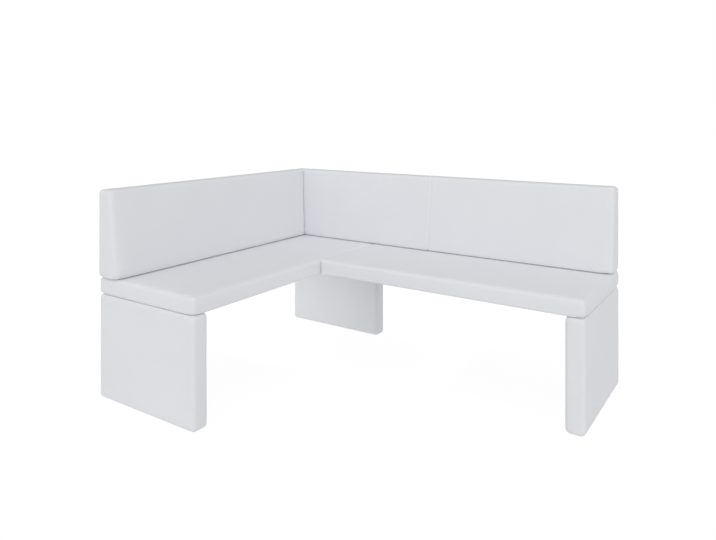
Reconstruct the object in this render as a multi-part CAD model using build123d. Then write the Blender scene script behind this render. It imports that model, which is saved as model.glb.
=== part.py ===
from build123d import *
import os

# An upholstered corner bench: two padded seats in an L, three padded panel legs and two wedge backrests.
# Millimetres, +Z up, +X along the long side, +Y towards the long side's back.
# The origin is on the floor, under the middle of the bench's bounding box.

# Overall sizes
long_length = 1700.0       # outer corner to the free end of the long side
short_length = 1284.0      # outer corner to the free end of the short side
seat_depth = 550.0         # front edge to back plane, on both sides
seat_height = 483.0        # floor to seat top
seat_thickness = 66.0
back_height = 350.0        # backrest above the seat
back_foot = 124.0          # backrest thickness at the seat
back_head = 80.0           # backrest thickness at the top
back_overhang = 7.0        # how far the short backrest passes the free end of its seat
leg_thickness = 72.0

# Soft forms
edge_radius = 17.0         # padded rounding of every panel edge
seat_crown = 3.0           # rise of the sitting area over the seat's flat margin
crown_end_rise = 15.0      # rise of the arch that rounds the crown off at both ends
back_crown = 2.5           # swell of the backrest's raked front

# Layers of the upholstery
cover_thickness = 1.2
cloth_thickness = 0.8
seat_foam = 20.0
deck_thickness = 8.0
board_thickness = 4.0

# Timber
rail_width = 30.0
back_rail_height = 45.0
upright_width = 45.0
stub_length = 6.0          # stub tenons of the cross rails and uprights
stub_thickness = 14.0
stub_shoulder = 0.25       # share of the timber above the screws left below and above a stub
mid_rail_count = 2
short_upright_count = 4
long_upright_count = 5

# Steel fittings
bracket_leg = 60.0
bracket_width = 50.0
steel_thickness = 4.0
bend_radius = 3.0          # inside of the bracket's bend
fitting_corner = 8.0       # rounded corners of brackets and plates
bracket_hole_spacing = 28.0
bracket_hole_line = 32.0   # bend to hole line on each flange
bracket_inset = 110.0      # seat edge to the middle of a bracket
plate_length = 100.0
plate_hole_spacing = 60.0
plate_edge = 15.0          # hole centre to plate edge
plate_front_inset = 85.0   # seat front to the middle of the front joining plate
plate_rear_inset = 185.0   # back plane to the middle of the rear joining plate
back_bolt_inset = 150.0    # leg or seat joint to the nearest backrest bolt
long_back_bolt_count = 3

# Hex-head wood screws of the brackets and plates
screw_radius = 3.0
screw_flats = 10.0         # across the flats of the head
screw_head_height = 4.0
screw_grip = 24.0          # screw length inside the timber
screw_point = 5.0

# Hex-head bolts of the backrests, with their insert nuts and washers
bolt_radius = 4.0
bolt_flats = 13.0
bolt_head_height = 5.3
bolt_grip = 24.0           # bolt length inside the backrest's bottom rail
insert_radius = 6.0
insert_length = 18.0
washer_radius = 12.0
washer_thickness = 2.0

# Floor glides
glide_height = 3.0
glide_radius = 12.0
glide_edge = 1.0
glide_inset = 60.0
nail_radius = 1.5
nail_length = 20.0

# Clearances
core_fit = 0.5             # end of the soft rounding to the timber
body_gap = 0.5             # one cover to the next, where two panels meet
hole_gap = 0.5             # around a screw or bolt in its clearance hole
thread_gap = 0.2           # around a bolt in its insert
cloth_margin = 2.0         # edge of the dust cloth to a leg or to a soft edge

# Levels
z_under = seat_height - seat_thickness
z_top = seat_height + back_height
z_rail = z_under + cover_thickness
z_foam = seat_height - cover_thickness - seat_foam
z_deck = z_foam - deck_thickness
z_cloth = z_under - cloth_thickness
z_steel = z_cloth - steel_thickness
z_back = seat_height + cover_thickness
z_back_rails = z_top - edge_radius - core_fit

# Plan
core = edge_radius + core_fit
rail_line = core + rail_width / 2
x_back = -long_length / 2
x_end = long_length / 2
x_joint = x_back + seat_depth
y_back = (short_length + back_overhang) / 2
y_end = y_back - short_length
y_front = y_back - seat_depth
long_seat_length = long_length - seat_depth - body_gap
short_back_length = short_length + back_overhang
bracket_line = leg_thickness + bracket_hole_line
back_bolt_depth = z_back - z_cloth + washer_thickness

# Each seat is drawn with its length on X from 0 and its depth on Y from 0 at the front edge.
short_seat_place = Location((x_joint, y_end, 0), (0, 0, 90))
long_seat_place = Location((x_joint + body_gap, y_front, 0))
# Each backrest is drawn with its length on X from 0 and its rear plane at Y 0.
short_back_place = Location((x_back, y_end - back_overhang, 0), (0, 0, 90))
long_back_place = Location((x_back, y_back, 0))
# Each leg is drawn with its depth on X from 0 and its inner face at Y equal to the leg thickness.
leg_places = {
    "left": Location((x_back, y_end, 0)),
    "corner": Location((x_joint, y_back, 0), (0, 0, 180)),
    "right": Location((x_end, y_front, 0), (0, 0, 90)),
}
bracket_spots = {"front": bracket_inset, "rear": seat_depth - bracket_inset}

bench = {}


def block(x0, x1, y0, y1, z0, z1):
    """A box between two corners."""
    size = Box(x1 - x0, y1 - y0, z1 - z0, align=(Align.MIN, Align.MIN, Align.MIN))
    return Pos(x0, y0, z0) * size


def soft_block(x1, y1, z0, z1, inset):
    """A padded panel from the local origin, shrunk by inset, with every edge rounded."""
    panel = block(inset, x1 - inset, inset, y1 - inset, z0 + inset, z1 - inset)
    return fillet(panel.edges(), edge_radius - inset)


def upright_cylinder(x, y, z0, z1, radius):
    """A cylinder between two levels."""
    return Pos(x, y, (z0 + z1) / 2) * Cylinder(radius, z1 - z0)


def arch(start, end, base, rise):
    """The end face of a low arch whose root goes down into the seat."""
    root = base - edge_radius
    sides = Polyline((end, base), (end, root), (start, root), (start, base))
    bow = ThreePointArc((start, base), ((start + end) / 2, base + rise), (end, base))
    return make_face([*sides.edges(), bow])


def crown(x0, x1, y0, y1, base):
    """The sitting area's low dome: an arch over the depth, rounded off by one along the length."""
    across = extrude(Plane.YZ.offset(x0) * arch(y0, y1, base, seat_crown), x1 - x0)
    along = extrude(Plane.XZ.offset(-y1) * arch(x0, x1, base, crown_end_rise), y1 - y0)
    return across & along


def seat_body(length, covered_end, inset):
    """The padded slab of a seat, with its crown in front of the backrests."""
    slab = soft_block(length, seat_depth, z_under, seat_height, inset)
    dome_depth = seat_depth - back_foot
    dome = crown(edge_radius, length - covered_end, edge_radius, dome_depth, seat_height - inset)
    return slab + dome


def cross_rail(x):
    """A rail across the seat's depth, with a stub tenon at each end above the screws."""
    free_height = z_deck - z_rail - screw_grip
    stub_low = z_deck - free_height * (1 - stub_shoulder)
    stub_high = z_deck - free_height * stub_shoulder
    near = core + rail_width
    far = seat_depth - near
    rail = block(x - rail_width / 2, x + rail_width / 2, near, far, z_rail, z_deck)
    half = stub_thickness / 2
    stubs = block(x - half, x + half, near - stub_length, far + stub_length, stub_low, stub_high)
    return rail + stubs


def spread(first, last, count):
    """Evenly spaced places from first to last, both included."""
    step = (last - first) / (count - 1)
    return [first + step * i for i in range(count)]


def seat_frame(length, leg_at_start):
    """The seat's front rail, rear rail and cross rails."""
    first = bracket_line if leg_at_start else rail_line
    places = spread(first, length - bracket_line, mid_rail_count + 2) + [length - rail_line]
    if leg_at_start:
        places.append(rail_line)
    cross_rails = [cross_rail(x) for x in places]
    front = block(core, length - core, core, core + rail_width, z_rail, z_deck)
    rear = Pos(0, seat_depth - 2 * rail_line, 0) * front
    return front - cross_rails, rear - cross_rails, cross_rails


def seat_cover(length, covered_end, open_start):
    """The seat's cover: a skin all round, cut open under the seat inside its rails."""
    skin = seat_body(length, covered_end, 0) - seat_body(length, covered_end, cover_thickness)
    margin = core + rail_width
    open_end = length - bracket_line - rail_width / 2
    return skin - block(open_start, open_end, margin, seat_depth - margin, z_cloth, z_rail)


def dust_cloth(length, start):
    """The cloth that closes the seat from below, between the legs."""
    edge = edge_radius + cloth_margin
    end = length - leg_thickness - cloth_margin
    cloth = block(start, end, edge, seat_depth - edge, z_cloth, z_under)
    return fillet(cloth.edges().filter_by(Axis.Z), fitting_corner)


def add_seat(name, place, length, covered_end, leg_at_start):
    """All pieces of one seat."""
    front, rear, cross_rails = seat_frame(length, leg_at_start)
    deck = block(core, length - core, core, seat_depth - core, z_deck, z_foam)
    hollow = block(core, length - core, core, seat_depth - core, z_rail, z_foam)
    padding = seat_body(length, covered_end, cover_thickness) - hollow
    open_start = bracket_line + rail_width / 2 if leg_at_start else core + rail_width
    cloth_start = cloth_margin + (leg_thickness if leg_at_start else edge_radius)
    bench[f"{name}_front_rail"] = [place * front]
    bench[f"{name}_rear_rail"] = [place * rear]
    bench[f"{name}_cross_rails"] = [place * rail for rail in cross_rails]
    bench[f"{name}_deck"] = [place * deck]
    bench[f"{name}_foam"] = [place * padding]
    bench[f"{name}_cover"] = [place * seat_cover(length, covered_end, open_start)]
    bench[f"{name}_dust_cloth"] = [place * dust_cloth(length, cloth_start)]


def back_profile(growth):
    """The backrest's wedge section, rear plane at 0, with a swelled front, grown or shrunk all round."""
    swell = (-(back_foot + back_head) / 2 - back_crown, (seat_height + z_top) / 2)
    foot = (-back_foot, seat_height)
    head = (-back_head, z_top)
    straight = Polyline(foot, (0, seat_height), (0, z_top), head)
    section = make_face([*straight.edges(), ThreePointArc(head, swell, foot)])
    if growth == 0:
        return section
    return offset(section, growth, kind=Kind.INTERSECTION)


def back_body(length, inset):
    """A padded wedge along X with every edge rounded."""
    wedge = extrude(Plane.YZ.offset(inset) * back_profile(-inset), length - 2 * inset)
    return fillet(wedge.edges(), edge_radius - inset)


def short_back_body(inset):
    """The short backrest, whose corner end is cut to the long backrest's raked and swelled front."""
    front_plane = Plane(origin=(short_back_length, 0, 0), x_dir=(1, 0, 0), z_dir=(0, -1, 0))
    reach = back_foot + back_crown
    long_back = extrude(front_plane * back_profile(body_gap + inset), reach, both=True)
    return back_body(short_back_length, inset) - long_back


def back_frame(end, upright_count):
    """The backrest's bottom rail, top rail and uprights, with stub tenons on the uprights."""
    front = -core - rail_width
    bottom = block(core, end, front, -core, z_back, z_back + back_rail_height)
    top = block(core, end, front, -core, z_back_rails - back_rail_height, z_back_rails)
    low = z_back + back_rail_height
    high = z_back_rails - back_rail_height
    half = upright_width / 2
    stub_front = -rail_line - stub_thickness / 2
    stub_rear = -rail_line + stub_thickness / 2
    uprights = []
    for x in spread(core + half, end - half, upright_count):
        post = block(x - half, x + half, front, -core, low, high)
        stub_half = half - stub_length
        stub_low = low - stub_length
        stub_high = high + stub_length
        post += block(x - stub_half, x + stub_half, stub_front, stub_rear, stub_low, stub_high)
        uprights.append(post)
    return bottom - uprights, top - uprights, uprights


def add_back(name, place, outside, inside, end, upright_count):
    """All pieces of one backrest."""
    bottom, top, uprights = back_frame(end, upright_count)
    face = -core - rail_width
    board = block(core, end, face - board_thickness, face, z_back, z_back_rails)
    hollow = block(core, end, face - board_thickness, -core, z_back, z_back_rails)
    bench[f"{name}_bottom_rail"] = [place * bottom]
    bench[f"{name}_top_rail"] = [place * top]
    bench[f"{name}_uprights"] = [place * post for post in uprights]
    bench[f"{name}_front_board"] = [place * board]
    bench[f"{name}_foam"] = [place * (inside - hollow)]
    bench[f"{name}_cover"] = [place * (outside - inside)]


def bracket(x):
    """A bent steel angle in the corner between a leg's inner face and the seat."""
    flat = steel_thickness
    length = bracket_leg
    top_flange = [(0, 0), (length, 0), (length, -flat), (flat, -flat)]
    side_flange = [(flat, -length), (0, -length)]
    angle = make_face(Polyline(*top_flange, *side_flange, close=True).edges())
    angle = fillet(angle.vertices().sort_by_distance((flat, -flat))[0], bend_radius)
    angle = fillet(angle.vertices().sort_by_distance((0, 0))[0], bend_radius + flat)
    profile = Plane.YZ.offset(x - bracket_width / 2) * Pos(leg_thickness, z_cloth) * angle
    solid = extrude(profile, bracket_width)
    tip_edges = solid.edges().filter_by(Axis.Z).group_by(Axis.Y)[-1]
    toe_edges = solid.edges().filter_by(Axis.Y).group_by(Axis.Z)[0]
    return fillet(tip_edges + toe_edges, fitting_corner)


def joining_plate(x, y):
    """A flat steel plate under the joint of the two seats."""
    half_width = rail_line + body_gap / 2 + plate_edge
    half_length = plate_length / 2
    plate = block(x - half_width, x + half_width, y - half_length, y + half_length, z_steel, z_cloth)
    return fillet(plate.edges().filter_by(Axis.Z), fitting_corner)


def glide(x):
    """A nail-on floor glide under a leg."""
    y = leg_thickness / 2
    disc = upright_cylinder(x, y, 0, glide_height, glide_radius)
    disc = chamfer(disc.edges().group_by(Axis.Z)[0], glide_edge)
    return disc + upright_cylinder(x, y, glide_height, glide_height + nail_length, nail_radius)


def add_leg(name, place):
    """All pieces of one leg, with its brackets and glides."""
    outside = soft_block(seat_depth, leg_thickness, glide_height, z_under, 0)
    inside = soft_block(seat_depth, leg_thickness, glide_height, z_under, cover_thickness)
    bottom = glide_height + cover_thickness
    panel = block(core, seat_depth - core, core, leg_thickness - core, bottom, z_under - cover_thickness)
    glides = [glide(glide_inset), glide(seat_depth - glide_inset)]
    bench[f"{name}_leg_panel"] = [place * (panel - glides)]
    bench[f"{name}_leg_foam"] = [place * (inside - panel)]
    bench[f"{name}_leg_cover"] = [place * (outside - inside - glides)]
    bench[f"{name}_leg_glides"] = [place * piece for piece in glides]
    for spot, x in bracket_spots.items():
        bench[f"{name}_leg_{spot}_bracket"] = [place * bracket(x)]


def hex_head(flats, height):
    """A hexagon head on a bearing face at 0, upwards."""
    return extrude(RegularPolygon(flats / 2, 6, major_radius=False), height)


def wood_screw(depth):
    """A pointed wood screw that enters its timber at a depth below the bearing face at 0."""
    tip = -depth - screw_grip
    shank = upright_cylinder(0, 0, tip + screw_point, 0, screw_radius)
    point = Pos(0, 0, tip + screw_point / 2) * Cone(0, screw_radius, screw_point)
    return hex_head(screw_flats, screw_head_height) + shank + point


def screw_clearance(depth):
    """The clearance hole of a wood screw through everything above its timber."""
    return upright_cylinder(0, 0, -depth, screw_head_height, screw_radius + hole_gap)


def bolt():
    """A backrest bolt: bearing face at 0, head upwards, shank downwards."""
    shank = upright_cylinder(0, 0, -back_bolt_depth - bolt_grip, 0, bolt_radius)
    return hex_head(bolt_flats, bolt_head_height) + shank


def insert_nut():
    """The threaded insert at the mouth of the backrest's bottom rail."""
    low = -back_bolt_depth - insert_length
    sleeve = upright_cylinder(0, 0, low, -back_bolt_depth, insert_radius)
    return sleeve - upright_cylinder(0, 0, low, -back_bolt_depth, bolt_radius + thread_gap)


def bolt_hole():
    """The hole for a backrest bolt and its insert."""
    end = -back_bolt_depth - bolt_grip
    shank = upright_cylinder(0, 0, end, bolt_head_height, bolt_radius + hole_gap)
    low = -back_bolt_depth - insert_length
    return shank + upright_cylinder(0, 0, low, -back_bolt_depth, insert_radius)


def washer():
    """A flat washer that bears on the underside of the seat, below a bolt's bearing face at 0."""
    ring = upright_cylinder(0, 0, -washer_thickness, 0, washer_radius)
    return ring - upright_cylinder(0, 0, -washer_thickness, 0, bolt_radius + hole_gap)


def cut(names, tools):
    """Cut tools out of the named pieces."""
    for name in names:
        bench[name] = [solid - tools for solid in bench[name]]


def add_screws(name, places, depth, passed, timber):
    """One kind of wood screw, with clearance holes in what it passes and its own hole in the timber."""
    screws = [place * wood_screw(depth) for place in places]
    cut(passed, [place * screw_clearance(depth) for place in places])
    cut(timber, screws)
    bench[name] = screws


def flange_places(edge_distance, level, turn):
    """The two screws in one flange of every bracket, in each leg's own place."""
    places = []
    for place in leg_places.values():
        for x in bracket_spots.values():
            for side in (-bracket_hole_spacing / 2, bracket_hole_spacing / 2):
                places.append(place * Location((x + side, edge_distance, level), (turn, 0, 0)))
    return places


def plate_places():
    """The four screws in each joining plate."""
    reach = rail_line + body_gap / 2
    half = plate_hole_spacing / 2
    return [
        Location((x_seam + x, y + along, z_steel), (180, 0, 0))
        for y in plate_rows
        for x in (-reach, reach)
        for along in (-half, half)
    ]


def back_bolt_places():
    """Bolts that come up through a seat's rear rail into the backrest above it."""
    level = z_cloth - washer_thickness
    y = seat_depth - rail_line
    short_spots = (leg_thickness + back_bolt_inset, short_length - back_foot - back_bolt_inset)
    long_last = long_seat_length - leg_thickness - back_bolt_inset
    long_spots = spread(back_bolt_inset, long_last, long_back_bolt_count)
    short = [short_seat_place * Location((x, y, level), (180, 0, 0)) for x in short_spots]
    long = [long_seat_place * Location((x, y, level), (180, 0, 0)) for x in long_spots]
    return short + long


# The padded pieces and their frames
add_seat("short_seat", short_seat_place, short_length, back_foot, True)
add_seat("long_seat", long_seat_place, long_seat_length, edge_radius, False)
short_frame_end = short_back_length - back_foot - back_crown - body_gap - cover_thickness - core
add_back(
    "short_back", short_back_place, short_back_body(0), short_back_body(cover_thickness),
    short_frame_end, short_upright_count,
)
add_back(
    "long_back", long_back_place, back_body(long_length, 0), back_body(long_length, cover_thickness),
    long_length - core, long_upright_count,
)
for leg_name, leg_place in leg_places.items():
    add_leg(leg_name, leg_place)

# The plates under the seat joint
x_seam = x_joint + body_gap / 2
plate_rows = (y_front + plate_front_inset, y_back - plate_rear_inset)
bench["front_joining_plate"] = [joining_plate(x_seam, plate_rows[0])]
bench["rear_joining_plate"] = [joining_plate(x_seam, plate_rows[1])]

# The screws of the brackets and plates
brackets = [name for name in bench if name.endswith("_bracket")]
plates = ["front_joining_plate", "rear_joining_plate"]
leg_skins = [f"{leg}_leg_{kind}" for leg in leg_places for kind in ("foam", "cover")]
leg_panels = [f"{leg}_leg_panel" for leg in leg_places]
leg_screw_places = flange_places(leg_thickness + steel_thickness, z_cloth - bracket_hole_line, -90)
add_screws("leg_screws", leg_screw_places, steel_thickness + core, brackets + leg_skins, leg_panels)
seat_skins = [f"{side}_seat_{kind}" for side in ("short", "long") for kind in ("cover", "dust_cloth")]
seat_rails = ["short_seat_front_rail", "short_seat_cross_rails", "long_seat_cross_rails"]
seat_screw_places = flange_places(bracket_line, z_steel, 180) + plate_places()
add_screws("seat_screws", seat_screw_places, z_rail - z_steel, brackets + plates + seat_skins, seat_rails)

# The bolts of the backrests
bolted_kinds = ("seat_rear_rail", "seat_deck", "seat_foam", "seat_cover", "seat_dust_cloth",
                "back_bottom_rail", "back_cover")
bolted = [f"{side}_{kind}" for side in ("short", "long") for kind in bolted_kinds]
bolt_places = back_bolt_places()
cut(bolted, [place * bolt_hole() for place in bolt_places])
bench["back_bolts"] = [place * bolt() for place in bolt_places]
bench["back_washers"] = [place * washer() for place in bolt_places]
bench["back_inserts"] = [place * insert_nut() for place in bolt_places]

os.makedirs("parts", exist_ok=True)
for node, pieces in bench.items():
    solids = [solid for piece in pieces for solid in piece.solids()]
    whole = solids[0] if len(solids) == 1 else Compound(children=solids)
    export_step(whole, f"parts/{node}.step")
print(len(bench), "nodes")
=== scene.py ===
import logging
import math
from dataclasses import dataclass, field
from enum import Enum

import bpy
import bmesh
import numpy as np
from mathutils import Matrix, Vector, noise


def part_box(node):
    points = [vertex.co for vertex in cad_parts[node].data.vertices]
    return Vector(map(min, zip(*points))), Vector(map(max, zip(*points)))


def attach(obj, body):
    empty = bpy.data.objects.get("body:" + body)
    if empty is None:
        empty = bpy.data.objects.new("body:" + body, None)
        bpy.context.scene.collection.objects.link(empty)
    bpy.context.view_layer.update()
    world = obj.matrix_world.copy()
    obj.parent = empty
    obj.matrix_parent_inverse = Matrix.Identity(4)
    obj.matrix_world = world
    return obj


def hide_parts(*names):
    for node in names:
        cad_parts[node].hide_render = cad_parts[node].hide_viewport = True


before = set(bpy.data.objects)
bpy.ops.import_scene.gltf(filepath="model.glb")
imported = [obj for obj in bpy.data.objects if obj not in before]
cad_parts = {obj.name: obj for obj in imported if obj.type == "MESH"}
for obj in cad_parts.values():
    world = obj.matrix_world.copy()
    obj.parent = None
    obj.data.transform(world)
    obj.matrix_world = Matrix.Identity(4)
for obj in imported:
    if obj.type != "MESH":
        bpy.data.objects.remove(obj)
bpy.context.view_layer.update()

# A white upholstered corner bench: padded covers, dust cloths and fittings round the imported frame, in metres.

LOG = logging.getLogger("corner_bench")
BODY = "root"
JOIN_DISTANCE = 1e-6    # points closer than this become one
ALMOST_NOTHING = 1e-9   # keeps a division safe
QUARTER_TURN = math.pi / 2
WHITE = (1.0, 1.0, 1.0, 1.0)
MID_NOISE = (0.3, 0.7)  # where most values of a noise lie
Triple = tuple[float, float, float]
Colour = Triple
Range = tuple[float, float]
Faces = list[tuple[int, ...]]


class Grain(Enum):
    """The row axis that a board's grain runs along."""

    X = 0
    Y = 1
    Z = 2


class Side(Enum):
    """The faces of a padded panel in its own frame, as outward directions."""

    START = (-1.0, 0.0, 0.0)
    END = (1.0, 0.0, 0.0)
    NEAR = (0.0, -1.0, 0.0)
    FAR = (0.0, 1.0, 0.0)
    UNDER = (0.0, 0.0, -1.0)
    TOP = (0.0, 0.0, 1.0)


class Tip(Enum):
    """The end of a fastener: its length and its end's radius, as shares of the shank's radius."""

    POINTED = (1.6, 0.08)
    CHAMFERED = (0.25, 0.75)


def ramp(distance: np.ndarray, width: float) -> np.ndarray:
    """Ease from 0 to 1 over a width.

    Args:
        distance: How far each point is past the start, in metres.
        width: The distance at which the result reaches 1.

    Returns:
        The eased share of each point.
    """
    share = np.clip(distance / width, 0.0, 1.0)
    return share * share * (3.0 - 2.0 * share)


def coordinates(mesh: bpy.types.Mesh) -> np.ndarray:
    """Read a mesh's points.

    Args:
        mesh: The mesh to read.

    Returns:
        One row of three coordinates for each point.
    """
    flat = np.empty(len(mesh.vertices) * 3, np.float32)
    mesh.vertices.foreach_get("co", flat)
    return flat.reshape(-1, 3).astype(float)


def normals(mesh: bpy.types.Mesh) -> np.ndarray:
    """Read the outward direction at each point of a mesh.

    Args:
        mesh: The mesh to read.

    Returns:
        One unit row for each point.
    """
    flat = np.empty(len(mesh.vertices) * 3, np.float32)
    mesh.vertex_normals.foreach_get("vector", flat)
    return flat.reshape(-1, 3).astype(float)


def move_points(mesh: bpy.types.Mesh, points: np.ndarray) -> None:
    """Put a mesh's points in new places.

    Args:
        mesh: The mesh to change.
        points: One row of three coordinates for each point.
    """
    mesh.vertices.foreach_set("co", points.astype(np.float32).ravel())
    mesh.update()


def new_object(name: str, points: np.ndarray, faces: Faces, smooth: bool = True) -> bpy.types.Object:
    """Make a mesh object in the scene.

    Args:
        name: The object's name.
        points: One row of three coordinates for each point.
        faces: The corner numbers of each face.
        smooth: Whether the faces are shaded smooth.

    Returns:
        The new object.
    """
    mesh = bpy.data.meshes.new(name)
    mesh.from_pydata([tuple(p) for p in points], [], [tuple(f) for f in faces])
    mesh.polygons.foreach_set("use_smooth", [smooth] * len(mesh.polygons))
    mesh.update()
    made = bpy.data.objects.new(name, mesh)
    bpy.context.scene.collection.objects.link(made)
    return made


def apply_modifiers(body: bpy.types.Object) -> None:
    """Replace an object's mesh by what its modifiers make of it.

    Args:
        body: The object to settle.
    """
    graph = bpy.context.evaluated_depsgraph_get()
    settled = bpy.data.meshes.new_from_object(body.evaluated_get(graph))
    body.modifiers.clear()
    body.data = settled


def weld(mesh: bpy.types.Mesh) -> None:
    """Join points that lie together, drop collapsed faces and turn all faces outwards.

    Args:
        mesh: The mesh to clean.
    """
    work = bmesh.new()
    work.from_mesh(mesh)
    bmesh.ops.remove_doubles(work, verts=work.verts, dist=JOIN_DISTANCE)
    bmesh.ops.dissolve_degenerate(work, dist=JOIN_DISTANCE, edges=work.edges)
    bmesh.ops.recalc_face_normals(work, faces=work.faces)
    work.to_mesh(mesh)
    work.free()
    mesh.update()


def solids_of(node: str) -> list[np.ndarray]:
    """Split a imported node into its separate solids.

    Args:
        node: The node's name.

    Returns:
        The points of each solid.
    """
    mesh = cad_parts[node].data
    points = coordinates(mesh)
    _, group = np.unique(np.round(points, decimals=6), axis=0, return_inverse=True)
    group = group.ravel()
    parent = list(range(group.max() + 1))

    def root(i: int) -> int:
        """Follow a point to the one that stands for its solid.

        Args:
            i: The point's number.

        Returns:
            The number that its whole solid shares.
        """
        while parent[i] != i:
            parent[i] = parent[parent[i]]
            i = parent[i]
        return i

    for polygon in mesh.polygons:
        first, *others = [root(group[v]) for v in polygon.vertices]
        for other in others:
            parent[root(other)] = root(first)
    owner = np.array([root(g) for g in group])
    return [points[owner == one] for one in np.unique(owner)]


def settle(piece: bpy.types.Object, slot: str, material: bpy.types.Material, *nodes: str) -> bpy.types.Object:
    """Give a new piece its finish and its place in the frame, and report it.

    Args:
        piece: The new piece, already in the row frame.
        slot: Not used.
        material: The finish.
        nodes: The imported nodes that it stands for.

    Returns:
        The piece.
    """
    piece.data.materials.clear()
    piece.data.materials.append(material)
    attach(piece, BODY)
    if nodes:
        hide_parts(*nodes)
    LOG.info("%s: %d faces", piece.name, len(piece.data.polygons))
    return piece


@dataclass
class Gathered:
    """Small forms gathered into one mesh."""

    points: list[Vector] = field(default_factory=list)
    faces: Faces = field(default_factory=list)

    def add(self, points: np.ndarray, faces: Faces, put: Matrix) -> None:
        """Add one form.

        Args:
            points: The form's points.
            faces: The corner numbers of its faces.
            put: Its place.
        """
        self.faces += [tuple(i + len(self.points) for i in face) for face in faces]
        self.points += [put @ Vector(point) for point in points]

    def made(self, name: str) -> bpy.types.Object:
        """Make all the forms one object with flat faces."""
        return new_object(name, np.array(self.points), self.faces, smooth=False)


@dataclass(frozen=True)
class Relief:
    """How deep a finish's fine relief is, in metres, and how much of it shows."""

    depth: float
    strength: float


class NodeBoard:
    """A material's node tree with a Principled shader, and short ways to add to it."""

    MIX_SHARE, MIX_FIRST, MIX_SECOND, MIX_RESULT = 0, 6, 7, 2  # the sockets of a colour mix

    def __init__(self, name: str) -> None:
        """Start a material with only its shader and output.

        Args:
            name: The material's name.
        """
        self.material = bpy.data.materials.new(name)
        self.material.use_nodes = True
        self.tree = self.material.node_tree
        self.tree.nodes.clear()
        self.shader = self.add("ShaderNodeBsdfPrincipled")
        self.add("ShaderNodeOutputMaterial", inputs={"Surface": self.shader.outputs["BSDF"]})
        self.place = self.add("ShaderNodeTexCoord").outputs["Object"]

    def add(self, kind: str, settings: dict | None = None, inputs: dict | None = None) -> bpy.types.Node:
        """Add a node.

        Args:
            kind: Blender's name of the node type.
            settings: The node's own options.
            inputs: A number or colour for each named input, or the socket that feeds it.

        Returns:
            The new node.
        """
        node = self.tree.nodes.new(kind)
        for key, value in (settings or {}).items():
            setattr(node, key, value)
        for key, value in (inputs or {}).items():
            self.feed(node.inputs[key], value)
        return node

    def feed(self, socket: bpy.types.NodeSocket, value: object) -> None:
        """Set an input socket, or link it.

        Args:
            socket: The input.
            value: A socket to link from, or a value to set.
        """
        if isinstance(value, bpy.types.NodeSocket):
            self.tree.links.new(value, socket)
        else:
            socket.default_value = value

    def set(self, **inputs: object) -> None:
        """Set inputs of the shader, with underscores for the spaces in their names."""
        for key, value in inputs.items():
            self.feed(self.shader.inputs[key.replace("_", " ")], value)

    def stretched(self, scale: Triple) -> bpy.types.NodeSocket:
        """The object's coordinates times a scale on each axis."""
        return self.add("ShaderNodeMapping", inputs={"Vector": self.place, "Scale": scale}).outputs["Vector"]

    def noise(self, scale: float, detail: float = 2.0, place: bpy.types.NodeSocket | None = None,
              distortion: float = 0.0) -> bpy.types.NodeSocket:
        """Smooth noise from 0 to 1.

        Args:
            scale: Features per metre.
            detail: Octaves of finer noise.
            place: The coordinates, or None for the object's own.
            distortion: How far the noise warps itself.

        Returns:
            The noise value.
        """
        inputs = {"Vector": place or self.place, "Scale": scale, "Detail": detail, "Distortion": distortion}
        return self.add("ShaderNodeTexNoise", inputs=inputs).outputs["Fac"]

    def cells(self, scale: float, feature: str, place: bpy.types.NodeSocket | None = None) -> bpy.types.Node:
        """Voronoi cells.

        Args:
            scale: Cells per metre.
            feature: Blender's name of what is measured in a cell.
            place: The coordinates, or None for the object's own.

        Returns:
            The Voronoi node.
        """
        inputs = {"Vector": place or self.place, "Scale": scale}
        return self.add("ShaderNodeTexVoronoi", {"feature": feature}, inputs)

    def mapped(self, value: bpy.types.NodeSocket, result: Range = (0.0, 1.0),
               window: Range = (0.0, 1.0)) -> bpy.types.NodeSocket:
        """A value moved from one range to another and kept inside it.

        Args:
            value: The value to map.
            result: The results at the start and the end of the window.
            window: The part of the value's range that is used.

        Returns:
            The mapped value.
        """
        inputs = {"Value": value, "From Min": window[0], "From Max": window[1],
                  "To Min": result[0], "To Max": result[1]}
        return self.add("ShaderNodeMapRange", inputs=inputs).outputs["Result"]

    def maths(self, operation: str, *values: object) -> bpy.types.NodeSocket:
        """One sum on numbers or sockets."""
        node = self.add("ShaderNodeMath", {"operation": operation}, dict(enumerate(values)))
        return node.outputs["Value"]

    def mixed(self, share: bpy.types.NodeSocket, first: Colour, second: Colour) -> bpy.types.NodeSocket:
        """A colour between two, by a share from 0 to 1.

        Args:
            share: How much of the second colour.
            first: The colour at 0.
            second: The colour at 1.

        Returns:
            The mixed colour.
        """
        node = self.add("ShaderNodeMix", {"data_type": "RGBA"})
        self.feed(node.inputs[self.MIX_SHARE], share)
        self.feed(node.inputs[self.MIX_FIRST], (*first, 1.0))
        self.feed(node.inputs[self.MIX_SECOND], (*second, 1.0))
        return node.outputs[self.MIX_RESULT]

    def bump(self, height: bpy.types.NodeSocket, relief: Relief) -> None:
        """Give the shader a fine relief.

        Args:
            height: The relief from 0 to 1.
            relief: Its depth and strength.
        """
        inputs = {"Height": height, "Distance": relief.depth, "Strength": relief.strength}
        self.set(Normal=self.add("ShaderNodeBump", inputs=inputs).outputs["Normal"])


def shade(colour: Colour, factor: float) -> Colour:
    """A colour made darker or lighter by a factor."""
    return tuple(min(1.0, part * factor) for part in colour)


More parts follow.
